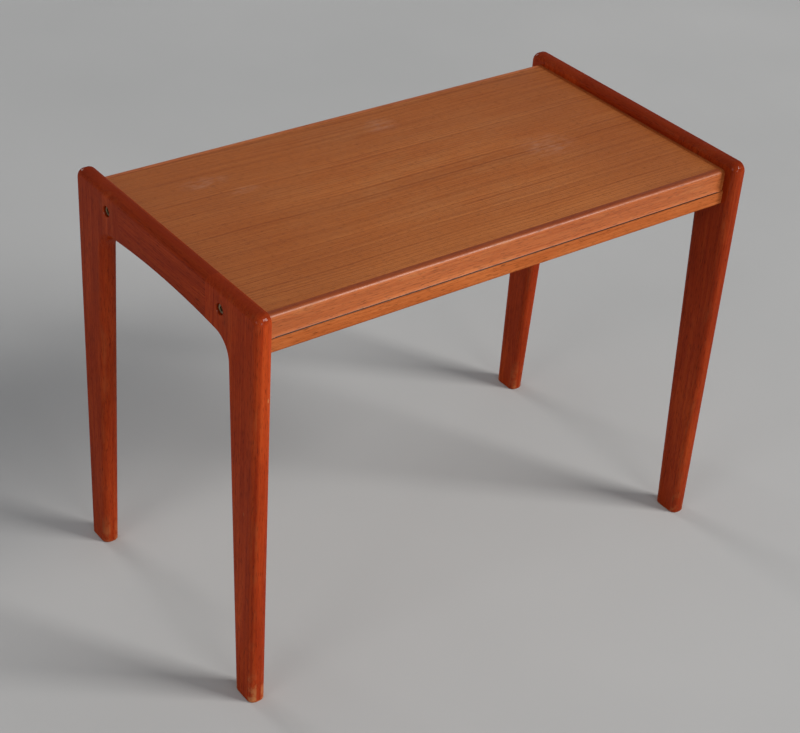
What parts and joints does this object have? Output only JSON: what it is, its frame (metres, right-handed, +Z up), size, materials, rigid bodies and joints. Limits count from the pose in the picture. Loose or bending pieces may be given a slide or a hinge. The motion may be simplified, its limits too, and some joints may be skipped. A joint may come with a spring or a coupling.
{
  "type": "low side table with end frames",
  "caption": "Low teak table with a veneered top bolted between two end frames whose tapered legs curve into arched rails.",
  "frame": {"origin": "on the floor under the middle of the table: the centre of the bounding box's base", "axes": "+X along the top, from the left end frame to the right one; +Y from the front to the back; +Z up"},
  "size_m": [0.602, 0.333, 0.455],
  "materials": {
    "frame_teak": "satin oiled teak, red-brown, grain along the leg",
    "rail_teak": "satin oiled teak, red-brown, grain along the rail",
    "edge_teak": "satin oiled teak, orange-brown, grain along the edge",
    "end_lipping_teak": "satin oiled teak, orange-brown, grain from front to back",
    "top_veneer": "satin oiled straight-grained teak veneer, golden brown, grain along the length",
    "bottom_veneer": "plain sanded balancing veneer, unfinished",
    "core_wood": "raw blockboard",
    "dowel_beech": "raw beech",
    "bolt_steel": "dulled zinc-plated steel",
    "nut_brass": "dull brass",
    "screw_brass": "dull brass"
  },
  "bodies": {
    "root": {"left_front_leg": "frame_teak", "left_rear_leg": "frame_teak", "left_end_rail": "rail_teak", "left_frame_dowels": "dowel_beech", "right_front_leg": "frame_teak", "right_rear_leg": "frame_teak", "right_end_rail": "rail_teak", "right_frame_dowels": "dowel_beech", "top_core": "core_wood", "top_veneer": "top_veneer", "bottom_veneer": "bottom_veneer", "front_lipping": "edge_teak", "rear_lipping": "edge_teak", "left_end_lipping": "end_lipping_teak", "right_end_lipping": "end_lipping_teak", "front_lower_strip": "edge_teak", "rear_lower_strip": "edge_teak", "front_strip_screws": "screw_brass", "rear_strip_screws": "screw_brass", "left_bolts": "bolt_steel", "right_bolts": "bolt_steel", "left_barrel_nuts": "nut_brass", "right_barrel_nuts": "nut_brass"}
  },
  "joints": []
}
